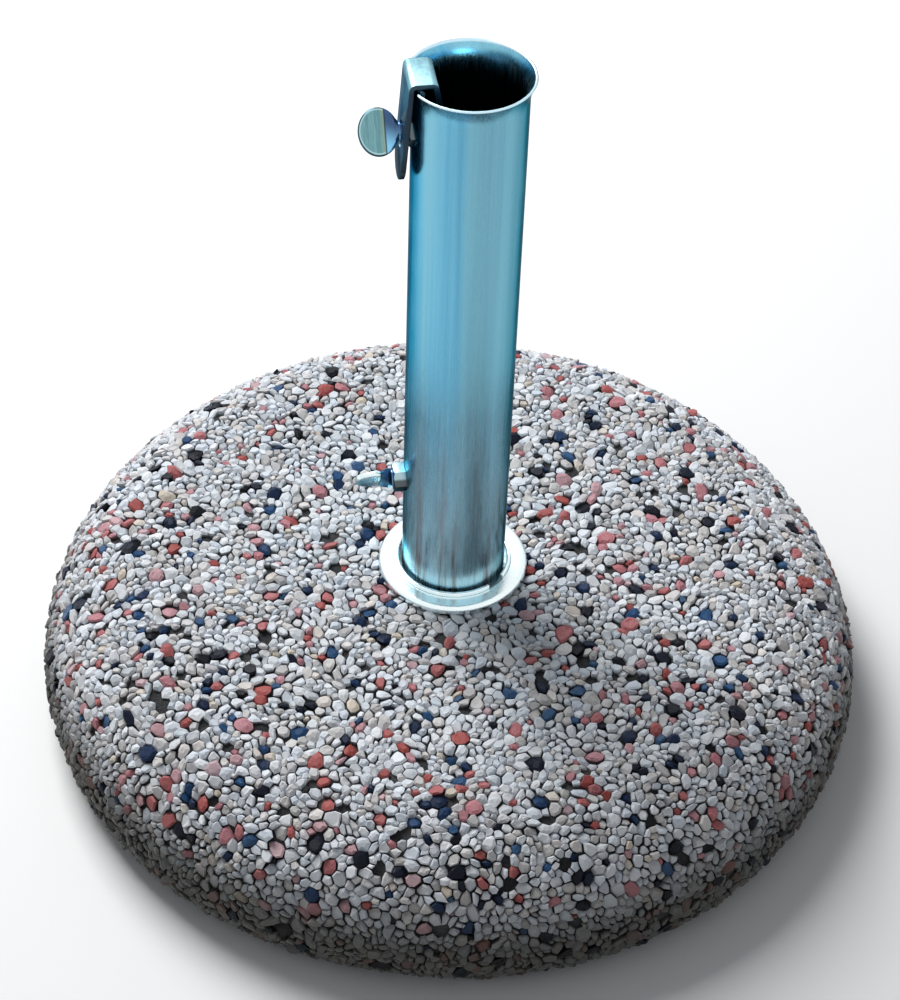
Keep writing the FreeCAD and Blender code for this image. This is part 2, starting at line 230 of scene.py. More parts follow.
@dataclass(frozen=True)
class StoneFinish:
    """Crushed stone chips: a colour for each chip, mottled, with painted shade and a thin cement coat low on
    their sides, and painted shade and grime towards the slab's foot.
    """

    name: str
    stops: Stops
    speckle: Colour
    roughness: float = 0.62
    # Painted shade, partly a cement coat and grime: these two colours and the heights below darken the chips
    # low on their sides and towards the slab's foot.
    film_and_shade: Colour = (0.045, 0.045, 0.047)
    dirt_and_shade: Colour = (0.052, 0.049, 0.04)
    specular: float = 0.22
    film_and_shade_heights: tuple[float, float] = (30.0 * MM, 76.0 * MM)
    dirt_and_shade_heights: tuple[float, float] = (28.0 * MM, 66.0 * MM)
    ragged: float = 12.0 * MM

    def build(self) -> bpy.types.Material:
        """Build the material."""
        material, graph = new_material(self.name)
        where = graph.place()
        body = graph.ramp(graph.attribute("tint"), self.stops)
        mottle = graph.noise(where, 700.0, 4.0, 0.6)
        veins = graph.spread(graph.noise(where, 2300.0, 2.0), 0.55, 0.72)
        body = graph.mix(graph.spread(mottle, 0.35, 0.75, 0.0, 0.45), body, self.speckle, "MULTIPLY")
        body = graph.mix(veins * 0.28, body, self.speckle, "MULTIPLY")
        rise = graph.attribute("rise")
        height = graph.axis(2)
        # Painted shade, partly a cement coat: darker low on each chip's sides, between the chips, and more so
        # low on the slab.
        film_and_shade = graph.spread(rise, 0.2, 0.74) * -1.0 + 1.0
        body = graph.mix(film_and_shade * graph.spread(height, *self.film_and_shade_heights, 0.97, 0.74), body, self.film_and_shade)
        # Painted shade and grime: darker towards the slab's foot, where its bulge turns away from the light.
        foot = graph.spread(height + (mottle - 0.5) * self.ragged, *self.dirt_and_shade_heights, 0.92, 0.0)
        body = graph.mix(foot, body, self.dirt_and_shade)
        grain = graph.noise(where, 1500.0, 3.0, 0.6)
        graph.finish(base_color=body, roughness=self.roughness + (mottle - 0.5) * 0.3,
                     specular_ior_level=self.specular, normal=graph.bump(grain, 0.25 * MM))
        return material


@dataclass(frozen=True)
class CementFinish:
    """Sandy grey cement between the chips and under the slab."""

    dark: Colour = (0.014, 0.015, 0.017)
    light: Colour = (0.08, 0.08, 0.082)

    def build(self) -> bpy.types.Material:
        """Build the material."""
        material, graph = new_material("sandy_cement")
        where = graph.place()
        cloud = graph.noise(where, 45.0, 3.0)
        sand = graph.noise(where, 1300.0, 3.0, 0.7)
        shade = graph.spread(cloud * 0.45 + sand * 0.55, 0.35, 0.68)
        graph.finish(base_color=graph.mix(shade, self.dark, self.light), roughness=0.9,
                     specular_ior_level=0.2, normal=graph.bump(sand, 0.5 * MM))
        return material


@dataclass(frozen=True)
class ZincFinish:
    """Zinc plating on drawn or pressed steel, streaked along one direction."""

    name: str
    light: Colour
    dark: Colour
    stretch: Colour
    turn: float = 0.0
    streaks: float = 0.5
    roughness: tuple[float, float] = (0.18, 0.34)
    bump: float = 0.02 * MM
    stain: Colour = (0.30, 0.31, 0.30)
    stain_share: float = 0.15
    grazing: Colour = (1.0, 1.0, 1.0)

    def build(self, shade: Shade = lambda graph, colour: colour) -> bpy.types.Material:
        """Build the material.

        Args:
            shade: Adds what one piece has of its own, such as a stain near its foot, and its painted light
                and shade.

        Returns:
            The material.
        """
        material, graph = new_material(self.name)
        along = graph.place(self.stretch, self.turn)
        plain = graph.place()
        broad, fine = graph.noise(along, 1.0, 2.0), graph.noise(along, 4.5, 4.0, 0.65)
        cloud = graph.noise(plain, 38.0, 3.0)
        drawn = graph.spread(broad * 0.6 + fine * 0.4, 0.32, 0.68)
        colour = graph.mix(drawn * self.streaks + cloud * (1.0 - self.streaks), self.dark, self.light)
        spots = graph.spread(graph.noise(plain, 210.0, 5.0, 0.7), 0.6, 0.74)
        colour = graph.mix(spots * self.stain_share, colour, self.stain)
        low, high = self.roughness
        graph.finish(base_color=shade(graph, colour), metallic=1.0, specular_tint=self.grazing,
                     roughness=graph.spread(fine * 0.6 + cloud * 0.4, 0.3, 0.7, low, high),
                     normal=graph.bump(fine, self.bump))
        return material


# ---- meshes ------------------------------------------------------------------------


def mesh_object(name: str, mesh: bpy.types.Mesh) -> bpy.types.Object:
    """An object at the origin for a mesh, linked to the scene."""
    mesh.name = name
    obj = bpy.data.objects.new(name, mesh)
    bpy.context.scene.collection.objects.link(obj)
    return obj


def close_mesh(bm: bmesh.types.BMesh, merge: float = 0.001 * MM) -> bpy.types.Mesh:
    """Merge doubles, point the faces outwards and hand back a plain mesh."""
    bmesh.ops.remove_doubles(bm, verts=bm.verts, dist=merge)
    bmesh.ops.recalc_face_normals(bm, faces=bm.faces)
    mesh = bpy.data.meshes.new("closed")
    bm.to_mesh(mesh)
    bm.free()
    return mesh


def smooth_by_angle(mesh: bpy.types.Mesh, degrees: float = 35.0) -> bpy.types.Mesh:
    """Shade a mesh smooth except over edges sharper than an angle."""
    for polygon in mesh.polygons:
        polygon.use_smooth = True
    mesh.set_sharp_from_angle(angle=math.radians(degrees))
    return mesh


def skin(rings: Sequence[Sequence[Vector]], closed: bool, caps: bool) -> bmesh.types.BMesh:
    """Faces between rings of points.

    Args:
        rings: Rings with the same number of points each.
        closed: Whether the last ring joins the first one.
        caps: Whether the first and last rings are filled.

    Returns:
        A new bmesh.
    """
    bm = bmesh.new()
    rows = [[bm.verts.new(point) for point in ring] for ring in rings]
    count = len(rows[0])
    pairs = list(zip(rows, rows[1:])) + ([(rows[-1], rows[0])] if closed else [])
    for low, high in pairs:
        for i in range(count):
            bm.faces.new((low[i], low[(i + 1) % count], high[(i + 1) % count], high[i]))
    if caps:
        bm.faces.new(rows[0])
        bm.faces.new(rows[-1])
    return bm


def hoop(x: float, radius: float, level: float, count: int) -> list[Vector]:
    """Points of a circle about an axis along X at a height."""
    angles = [2.0 * math.pi * i / count for i in range(count)]
    return [Vector((x, radius * math.cos(a), level + radius * math.sin(a))) for a in angles]


def column(profile: Profile, degrees: float) -> list[Vector]:
    """A profile's points at an angle about Z."""
    angle = math.radians(degrees)
    return [Vector((r * math.cos(angle), r * math.sin(angle), z)) for r, z in profile]


def to_clamp_side(mesh: bpy.types.Mesh) -> None:
    """Turn a mesh that was made along X to the clamp's side."""
    mesh.transform(Matrix.Rotation(math.radians(CLAMP_AZIMUTH), 4, "Z"))


def arc(centre: tuple[float, float], radius: float, start: float, end: float, steps: int) -> Profile:
    """Points of an arc in the (radius, height) plane, angles in degrees."""
    angles = [math.radians(start + (end - start) * i / steps) for i in range(steps + 1)]
    return [(centre[0] + radius * math.cos(a), centre[1] + radius * math.sin(a)) for a in angles]


def turned(profile: Profile, segments: int, start: float = 0.0, sweep: float = 360.0) -> bmesh.types.BMesh:
    """Turn a closed profile about Z, all the way or over a stretch with end faces."""
    whole = sweep >= 360.0
    count = segments if whole else segments + 1
    columns = [column(profile, start + sweep * i / segments) for i in range(count)]
    return skin(columns, whole, not whole)


def evaluated(obj: bpy.types.Object) -> bpy.types.Mesh:
    """A plain mesh of an object with its modifiers applied."""
    bpy.context.view_layer.update()
    graph = bpy.context.evaluated_depsgraph_get()
    return bpy.data.meshes.new_from_object(obj.evaluated_get(graph), depsgraph=graph)


def work(obj: bpy.types.Object) -> None:
    """Apply an object's modifiers to its mesh."""
    mesh = evaluated(obj)
    obj.modifiers.clear()
    obj.data = mesh
    mesh.name = obj.name


def dress(obj: bpy.types.Object, material: bpy.types.Material, body: Body, slot: str, *nodes: str) -> None:
    """Give a piece its material and body, and hide the CAD nodes that it stands for."""
    obj.data.materials.clear()
    obj.data.materials.append(material)
    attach(obj, body.value)
    if nodes:
        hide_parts(*nodes)
    LOG.info("%s: %d faces on %s", obj.name, len(obj.data.polygons), body.value)


# ---- geometry nodes ----------------------------------------------------------------


class Tree(Graph):
    """A Geometry Nodes tree with named inputs that ends in Realize Instances and Set Material."""

    def __init__(self, name: str, inputs: dict[str, str]) -> None:
        """Start a tree.

        Args:
            name: The tree's name.
            inputs: Kinds of socket by input name, besides the geometry and the material.
        """
        super().__init__(bpy.data.node_groups.new(name, "GeometryNodeTree"))
        self.tree.interface.new_socket("Geometry", in_out="OUTPUT", socket_type="NodeSocketGeometry")
        for label, kind in {"Geometry": "Geometry", **inputs, "Material": "Material"}.items():
            self.tree.interface.new_socket(label, in_out="INPUT", socket_type="NodeSocket" + kind)
        self.entry = self.tree.nodes.new("NodeGroupInput")
        self.position = self.node("InputPosition", {})

    def __getitem__(self, label: str) -> Wire:
        """One of the tree's inputs."""
        return Wire(self, self.entry.outputs[label])

    def node(self, kind: str, inputs: dict, output: Output = 0, **settings: object) -> Wire:
        """A node by the end of its type name, after GeometryNode."""
        return self.add("GeometryNode" + kind, settings, inputs, output)

    def combine(self, x: Value = 0.0, y: Value = 0.0, z: Value = 0.0) -> Wire:
        """A vector from three values."""
        return self.add("ShaderNodeCombineXYZ", {}, {0: x, 1: y, 2: z})

    def scaled(self, vector: Wire, factor: Value) -> Wire:
        """A vector times a number."""
        return self.add("ShaderNodeVectorMath", {"operation": "SCALE"}, {0: vector, "Scale": factor})

    def random(self, low: float, high: float, seed: Wire) -> Wire:
        """A random number for each element."""
        return self.add("FunctionNodeRandomValue", {"data_type": "FLOAT"}, {2: low, 3: high, 8: seed}, 1)

    def random_vector(self, seed: Wire) -> Wire:
        """A random vector with parts from -1 to 1 for each element."""
        return self.add("FunctionNodeRandomValue", {"data_type": "FLOAT_VECTOR"},
                        {0: (-1.0,) * 3, 1: (1.0,) * 3, 8: seed})

    def named(self, name: str, kind: str = "FLOAT") -> Wire:
        """A stored attribute."""
        return self.node("InputNamedAttribute", {"Name": name}, data_type=kind)

    def store(self, geometry: Wire, name: str, value: object, domain: str = "FACE",
              kind: str = "FLOAT", where: object = True) -> Wire:
        """Store an attribute on a geometry."""
        return self.node("StoreNamedAttribute", {"Geometry": geometry, "Selection": where, "Name": name,
                                                 "Value": value}, data_type=kind, domain=domain)

    def finish(self, geometry: Wire) -> None:
        """End the tree in plain mesh with the input's material."""
        real = self.node("RealizeInstances", {"Geometry": geometry})
        dressed = self.node("SetMaterial", {"Geometry": real, "Material": self["Material"]})
        self.add("NodeGroupOutput", {}, {0: dressed})

    def run(self, carrier: bpy.types.Object, name: str, values: dict) -> bpy.types.Object:
        """Run the tree on a carrier and keep the result as a plain mesh of its own.

        Args:
            carrier: The object whose mesh goes in; it stays as it was.
            name: The new object's name.
            values: The inputs by name.

        Returns:
            A new object with the resulting mesh.
        """
        modifier = carrier.modifiers.new(name, "NODES")
        modifier.node_group = self.tree
        for item in self.tree.interface.items_tree:
            if item.in_out == "INPUT" and item.name in values:
                modifier[item.identifier] = values[item.name]
        mesh = evaluated(carrier)
        carrier.modifiers.remove(modifier)
        return mesh_object(name, mesh)


class ChipTree(Tree):
    """Tree that packs a convex turned surface with closed, angular stone chips.

    The surface's points carry their place on a ball of the same angles. Chips are the cells
    around scattered points there, so that they meet all round; they are then brought home.
    """

    FLOATS = ("Fine spacing", "Fine density", "Coarse spacing", "Coarse density", "Coarse room",
              "Coarse length", "Coarse share", "Inner radius", "Lowest", "Missing", "Sink", "Depth",
              "Crown", "Tilt", "Jitter", "Shortest side", "Widest", "Highest", "Deepest",
              "Family from", "Family to")
    SEEDS = 12
    WAIST_RISE = 0.72
    ROOT_SIZE = 0.85
    MERGE = 0.002 * MM

    def __init__(self) -> None:
        """Build the tree."""
        super().__init__("stone_chips", {**dict.fromkeys(self.FLOATS, "Float"), "Seed": "Int",
                                         "Ball": "Object"})
        self.seeds = [self["Seed"] + float(i) for i in range(self.SEEDS)]
        self.radius_here = self.vector("LENGTH", self.vector("MULTIPLY", self.position, (1.0, 1.0, 0.0)),
                                       output="Value")
        self.out = self.named("out", "FLOAT_VECTOR")
        cells = self.chosen(self.cells(self.points()))
        self.finish(self.held(self.solid(self.laid(cells))))

    def scatter(self, kind: str, seed: Wire) -> Wire:
        """Points on the surface that keep their distance."""
        return self.node("DistributePointsOnFaces", {
            "Mesh": self["Geometry"], "Distance Min": self[kind + " spacing"],
            "Density Max": self[kind + " density"], "Seed": seed}, distribute_method="POISSON")

    def points(self) -> Wire:
        """Points of small and large stones on the ball, the large ones with long room around them."""
        fine, large = self.scatter("Fine", self["Seed"]), self.scatter("Coarse", self.seeds[1])
        coarse = self.store(large, "coarse", 1.0, "POINT")
        half = self["Coarse length"] * 0.5
        bar = self.node("MeshLine", {"Count": 2, "Start Location": self.combine(half * -1.0),
                                     "Offset": self.combine(half)}, mode="END_POINTS")
        spin = self.add("FunctionNodeEulerToRotation", {},
                        {0: self.combine(z=self.random(0.0, math.pi, self.seeds[0]))})
        lie = self.add("FunctionNodeRotateRotation", {"rotation_space": "LOCAL"},
                       {0: large["Rotation"], 1: spin})
        bars = self.node("InstanceOnPoints", {"Points": coarse, "Instance": bar, "Rotation": lie,
                                              "Scale": self.random(0.2, 1.0, self.seeds[2])})
        bars = self.node("RealizeInstances", {0: bars})
        near = self.node("Proximity", {0: bars}, "Distance", target_element="EDGES")
        room = self["Coarse room"] * self.random(0.72, 1.0, self.seeds[2])
        crowded = self.math("LESS_THAN", near, room)
        fine = self.node("DeleteGeometry", {"Geometry": fine, "Selection": crowded}, domain="POINT")
        fine = self.store(fine, "coarse", 0.0, "POINT")
        both = self.node("JoinGeometry", {0: [fine, coarse]})
        on_ball = self.vector("NORMALIZE", self.named("ball", "FLOAT_VECTOR"))
        return self.node("SetPosition", {"Geometry": both, "Position": on_ball})

    def cells(self, points: Wire) -> Wire:
        """Cells around the points on the ball, brought home to the surface."""
        cells = self.node("DualMesh", {0: self.node("ConvexHull", {0: points})})
        nearest = self.node("SampleNearest", {0: points, "Sample Position": self.position}, domain="POINT")
        is_coarse = self.node("SampleIndex", {0: points, "Value": self.named("coarse"), "Index": nearest},
                              data_type="FLOAT", domain="POINT")
        cells = self.store(cells, "coarse", is_coarse)
        ball = self.node("ObjectInfo", {"Object": self["Ball"]}, "Geometry")
        home, out = [self.node("SampleNearestSurface", {
            "Mesh": ball, "Value": self.named(name, "FLOAT_VECTOR"), "Sample Position": self.position},
            data_type="FLOAT_VECTOR") for name in ("home", "out")]
        cells = self.store(cells, "out", out, "POINT", "FLOAT_VECTOR")
        cells = self.node("SetPosition", {"Geometry": cells, "Position": home})
        return self.node("MergeByDistance", {"Geometry": cells, "Distance": self["Shortest side"]})

    def chosen(self, cells: Wire) -> Wire:
        """Give each cell its random values and keep this family's share of the cells."""
        pick, missing = self.random(0.0, 1.0, self.seeds[4]), self.random(0.0, 1.0, self.seeds[3])
        family = self.add("ShaderNodeMix", {"data_type": "FLOAT"},
                          {0: self.named("coarse"), 2: pick, 3: pick * self["Coarse share"]})
        unwanted = self.math("GREATER_THAN", family, self["Family to"])
        for value, limit in ((family, "Family from"), (self.radius_here, "Inner radius"),
                             (self.split(self.position, 2), "Lowest"), (missing, "Missing")):
            unwanted = self.math("MAXIMUM", unwanted, self.math("LESS_THAN", value, self[limit]))
        for name, seed, low, high in (("tint", 5, 0.0, 1.0), ("shrink", 6, 0.8, 1.0),
                                      ("top_size", 7, 0.35, 0.85), ("sink", 9, 0.0, 1.0)):
            cells = self.store(cells, name, self.random(low, high, self.seeds[seed]))
        cells = self.store(cells, "lean", self.random_vector(self.seeds[8]), kind="FLOAT_VECTOR")
        return self.node("DeleteGeometry", {"Geometry": cells, "Selection": unwanted}, domain="FACE")

    def laid(self, cells: Wire) -> Wire:
        """Part the cells, shrink them, and sink, tilt and shift each one."""
        cells = self.node("SplitEdges", {0: cells})
        cells = self.node("ScaleElements", {"Geometry": cells, "Scale": self.named("shrink")}, domain="FACE")
        middle = self.node("FieldOnDomain", {0: self.position}, data_type="FLOAT_VECTOR", domain="FACE")
        arm = self.vector("SUBTRACT", self.position, middle)
        lean = self.vector("DOT_PRODUCT", arm, self.named("lean", "FLOAT_VECTOR"), output="Value")
        lift = lean * self["Tilt"] - self["Sink"] * (self.named("sink") + 0.75)
        jitter = self.scaled(self.random_vector(self.seeds[10]), self["Jitter"])
        shift = self.vector("ADD", self.scaled(self.out, lift), jitter)
        return self.node("SetPosition", {"Geometry": cells, "Offset": shift})

    def solid(self, cells: Wire) -> Wire:
        """Close each cell into a chip, with a smaller crown above it and a root below."""
        cells = self.store(cells, "rise", self.WAIST_RISE, "POINT")
        crown = self["Crown"] * self.random(0.5, 1.0, self.seeds[11])
        halves = []
        for base, way, reach, size, rise in (
                (cells, self.out, crown, self.named("top_size"), 1.0),
                (self.node("FlipFaces", {0: cells}), self.scaled(self.out, -1.0), self["Depth"],
                 self.ROOT_SIZE, 0.0)):
            grown = self.node("ExtrudeMesh", {"Mesh": base, "Offset": way, "Offset Scale": reach,
                                              "Individual": True}, mode="FACES")
            half = self.node("ScaleElements", {"Geometry": grown, "Selection": grown["Top"], "Scale": size},
                             domain="FACE")
            halves.append(self.store(half, "rise", rise, "POINT", where=grown["Top"]))
        chips = self.node("JoinGeometry", {0: halves})
        chips = self.node("MergeByDistance", {"Geometry": chips, "Distance": self.MERGE})
        return self.node("SetShadeSmooth", {"Geometry": chips, "Shade Smooth": False})

    def held(self, chips: Wire) -> Wire:
        """Keep every point inside the slab's own size."""
        inward = self.math("MINIMUM", self["Widest"] / self.math("MAXIMUM", self.radius_here, 1.0 * MM), 1.0)
        x, y, z = [self.split(self.position, index) for index in range(3)]
        level = self.math("MAXIMUM", self.math("MINIMUM", z, self["Highest"]), self["Deepest"])
        return self.node("SetPosition", {"Geometry": chips,
                                         "Position": self.combine(x * inward, y * inward, level)})


class ThreadTree(Tree):
    """Tree that cuts a helical thread into a fine-meshed rod along X."""

    SKIN = 0.97

    def __init__(self) -> None:
        """Build the tree."""
        super().__init__("screw_thread", dict.fromkeys(("Pitch", "Depth", "From", "To", "Level", "Radius"),
                                                       "Float"))
        along, side, height = [self.split(self.position, index) for index in range(3)]
        rise = height - self["Level"]
        turns = self.math("ARCTAN2", rise, side) / (2.0 * math.pi)
        phase = self.math("FRACT", along / self["Pitch"] - turns)
        groove = self.math("ABSOLUTE", phase * 2.0 - 1.0)
        inside = self.math("GREATER_THAN", along, self["From"]) * self.math("LESS_THAN", along, self["To"])
        radial = self.combine(0.0, side, rise)
        skin_only = self.math("GREATER_THAN", self.vector("LENGTH", radial, output="Value"),
                              self["Radius"] * self.SKIN)
        amount = groove * inside * (skin_only * self["Depth"])
        inward = self.scaled(self.vector("NORMALIZE", radial), amount * -1.0)
        self.finish(self.node("SetPosition", {"Geometry": self["Geometry"], "Offset": inward}))


# ---- concrete slab -----------------------------------------------------------------


@dataclass(frozen=True)
class ChipFamily:
    """One kind of stone among the chips: its share of them and its finish."""

    name: str
    start: float
    end: float
    finish: StoneFinish


@dataclass
class ConcreteSlab:
    """Washed-concrete slab: a cement body and the stone chips that stand out of it."""

    shoulder: float = 58.0 * MM
    tuck: float = 12.0 * MM
    socket_radius: float = 28.7 * MM
    socket_floor: float = 10.0 * MM
    drain_radius: float = 8.0 * MM
    recess: float = 3.4 * MM
    chips_from: float = 20.0 * MM
    under_step: float = 5.0 * MM
    ball_turn: float = 0.5
    segments: int = 256
    edge_room: float = 0.05 * MM

    def __post_init__(self) -> None:
        """Read the slab's radius and height from the frame."""
        low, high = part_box("concrete_slab")
        self.radius = round((high.x - low.x) / 2.0, 3)
        self.height = high.z

    def outline(self, start: float, inset: float) -> Profile:
        """Outline of the upper side, shoulder and tuck, from a start radius to the underside.

        Args:
            start: Radius at which the outline starts on the flat top.
            inset: How far the outline lies inside the slab's outer surface.

        Returns:
            Points from the top to the foot.
        """
        flat = self.radius - self.shoulder
        widest = self.height - self.shoulder
        tuck_radius = (self.tuck ** 2 + widest ** 2) / (2.0 * self.tuck)
        tuck_angle = math.degrees(math.asin(widest / tuck_radius))
        top_steps = 34
        top = [(start + (flat - start) * i / top_steps, self.height - inset) for i in range(top_steps)]
        shoulder = arc((flat, widest), self.shoulder - inset, 90.0, 0.0, 24)
        tuck = arc((self.radius - tuck_radius, widest), tuck_radius - inset, 0.0, -tuck_angle, 8)
        return top + shoulder + tuck[1:]

    def cement(self) -> bpy.types.Object:
        """Cement body with its socket and drain."""
        outline = self.outline(self.socket_radius, self.recess)
        foot = self.radius - self.tuck - self.recess
        outline[-1] = (foot, 0.0)
        profile = outline + [(self.drain_radius, 0.0), (self.drain_radius, self.socket_floor),
                             (self.socket_radius, self.socket_floor)]
        mesh = smooth_by_angle(close_mesh(turned(profile, self.segments)))
        return mesh_object("cement_body", mesh)

    def carriers(self) -> tuple[bpy.types.Object, bpy.types.Object]:
        """The surface on which chips are scattered, and the ball that it is unrolled to."""
        outline = self.outline(self.chips_from, 0.0)
        foot = outline[-1][0]
        outline += [(foot - self.under_step * i, 0.0) for i in range(1, 4)]
        stretch, latitudes = 0.0, [0.0]
        for (r0, z0), (r1, z1) in zip(outline, outline[1:]):
            stretch += math.hypot(r1 - r0, z1 - z0) * 2.0 / (r0 + r1)
            latitudes.append(stretch)
        polar = [2.0 * math.atan(math.exp(value - stretch + self.ball_turn)) for value in latitudes]
        homes, balls, outs = [], [], []
        for k, (r, z) in enumerate(outline):
            before, after = outline[max(k - 1, 0)], outline[min(k + 1, len(outline) - 1)]
            normal = Vector((before[1] - after[1], after[0] - before[0])).normalized()
            for i in range(self.segments):
                angle = 2.0 * math.pi * i / self.segments
                c, s = math.cos(angle), math.sin(angle)
                homes.append((r * c, r * s, z))
                outs.append((normal.x * c, normal.x * s, normal.y))
                balls.append((math.sin(polar[k]) * c, math.sin(polar[k]) * s, math.cos(polar[k])))
        faces = []
        for k in range(len(outline) - 1):
            for i in range(self.segments):
                a, b = k * self.segments + i, k * self.segments + (i + 1) % self.segments
                faces.append((a, a + self.segments, b + self.segments, b))
        made = []
        for name, points, extra in (("chip_ground", homes, {"ball": balls}),
                                    ("chip_ball", balls, {"home": homes, "out": outs})):
            mesh = bpy.data.meshes.new(name)
            mesh.from_pydata(points, [], faces)
            for label, values in extra.items():
                attribute = mesh.attributes.new(label, "FLOAT_VECTOR", "POINT")
                attribute.data.foreach_set("vector", [x for value in values for x in value])
            made.append(mesh_object(name, mesh))
        return made[0], made[1]

    def chip_inputs(self) -> dict[str, float]:
        """What every family's chips share: their sizes, spacing, depth and limits."""
        return {
            "Fine spacing": 2.7 * MM, "Fine density": 92000.0, "Shortest side": 1.5 * MM,
            "Coarse spacing": 11.5 * MM, "Coarse density": 2400.0, "Coarse room": 4.6 * MM,
            "Coarse length": 6.5 * MM, "Coarse share": 0.09, "Inner radius": 31.5 * MM,
            "Lowest": 1.6 * MM, "Missing": 0.02, "Sink": 1.35 * MM, "Depth": 2.6 * MM,
            "Crown": 1.3 * MM, "Tilt": 0.4, "Jitter": 0.42 * MM, "Seed": 11,
            "Widest": self.radius - self.edge_room, "Highest": self.height - self.edge_room,
            "Deepest": 0.1 * MM,
        }

    def build(self) -> None:
        """Make the cement and every family of chips."""
        dress(self.cement(), CementFinish().build(), Body.BASE, "washed_concrete", "concrete_slab")
        ground, ball = self.carriers()
        tree = ChipTree()
        for family in FAMILIES:
            stone = family.finish.build()
            chips = tree.run(ground, family.name, {
                **self.chip_inputs(), "Family from": family.start, "Family to": family.end,
                "Ball": ball, "Material": stone})
            dress(chips, stone, Body.BASE, "washed_concrete")
        for carrier in (ground, ball):
            bpy.data.objects.remove(carrier)


WHITE = StoneFinish("white_stone", (
    (0.0, (0.68, 0.70, 0.73)), (0.35, (0.78, 0.79, 0.81)), (0.7, (0.70, 0.74, 0.80)),
    (1.0, (0.82, 0.84, 0.86))), (0.80, 0.82, 0.86))
GREY = StoneFinish("grey_stone", (
    (0.0, (0.54, 0.56, 0.59)), (0.4, (0.66, 0.68, 0.71)), (0.7, (0.65, 0.70, 0.77)),
    (1.0, (0.76, 0.78, 0.80))), (0.74, 0.77, 0.81))
BUFF = StoneFinish("buff_stone", (
    (0.0, (0.46, 0.45, 0.45)), (0.3, (0.66, 0.64, 0.63)), (0.6, (0.60, 0.60, 0.62)),
    (0.92, (0.74, 0.70, 0.68)), (1.0, (0.62, 0.54, 0.44))), (0.76, 0.75, 0.76))
RED = StoneFinish("red_stone", (
    (0.0, (0.36, 0.075, 0.065)), (0.3, (0.45, 0.14, 0.14)), (0.6, (0.50, 0.22, 0.25)),
    (0.85, (0.56, 0.34, 0.37)), (1.0, (0.60, 0.45, 0.48))), (0.55, 0.42, 0.46), roughness=0.5)
DARK = StoneFinish("dark_stone", (
    (0.0, (0.005, 0.006, 0.01)), (0.35, (0.008, 0.012, 0.026)), (0.6, (0.012, 0.03, 0.08)),
    (0.85, (0.025, 0.085, 0.20)), (1.0, (0.06, 0.12, 0.21))), (0.5, 0.55, 0.7), roughness=0.28,
    film_and_shade=(0.01, 0.01, 0.012), dirt_and_shade=(0.012, 0.012, 0.012), specular=0.1)

FAMILIES = (
    ChipFamily("dark_chips", -1.0, 0.036, DARK),
    ChipFamily("red_chips", 0.036, 0.082, RED),
    ChipFamily("buff_chips", 0.082, 0.33, BUFF),
    ChipFamily("grey_chips", 0.33, 0.62, GREY),
    ChipFamily("white_chips", 0.62, 2.0, WHITE),
)


# ---- upright, ring and collar ------------------------------------------------------


# The tube's near-black grazing tint darkens its edges: a painted dark reflection.
TUBE_ZINC = ZincFinish("streaked_zinc", (0.22, 0.62, 0.84), (0.11, 0.38, 0.58), (240.0, 240.0, 2.6),
                       streaks=0.6, grazing=(0.06, 0.09, 0.10))
RING_ZINC = ZincFinish("bright_zinc", (0.94, 0.99, 1.0), (0.76, 0.92, 0.96), (90.0, 90.0, 90.0),
                       streaks=0.4, roughness=(0.16, 0.32), stain_share=0.05, grazing=(0.8, 0.9, 0.95))
PLATE_ZINC = ZincFinish("dull_zinc", (0.48, 0.66, 0.72), (0.30, 0.44, 0.50), (150.0, 150.0, 150.0),
                        streaks=0.4, roughness=(0.26, 0.42), grazing=(0.2, 0.26, 0.3))
STRAP_ZINC = ZincFinish("bent_zinc", (0.36, 0.60, 0.66), (0.24, 0.44, 0.52), (150.0, 150.0, 150.0),
                        streaks=0.4, roughness=(0.3, 0.45), stain_share=0.1, grazing=(0.2, 0.26, 0.3))
SCREW_ZINC = ZincFinish("forged_zinc", (0.22, 0.44, 0.46), (0.11, 0.25, 0.29), (900.0, 60.0, 60.0),
                        turn=-CLAMP_AZIMUTH, streaks=0.75, roughness=(0.16, 0.30), stain_share=0.1,
                        grazing=(0.5, 0.7, 0.8))


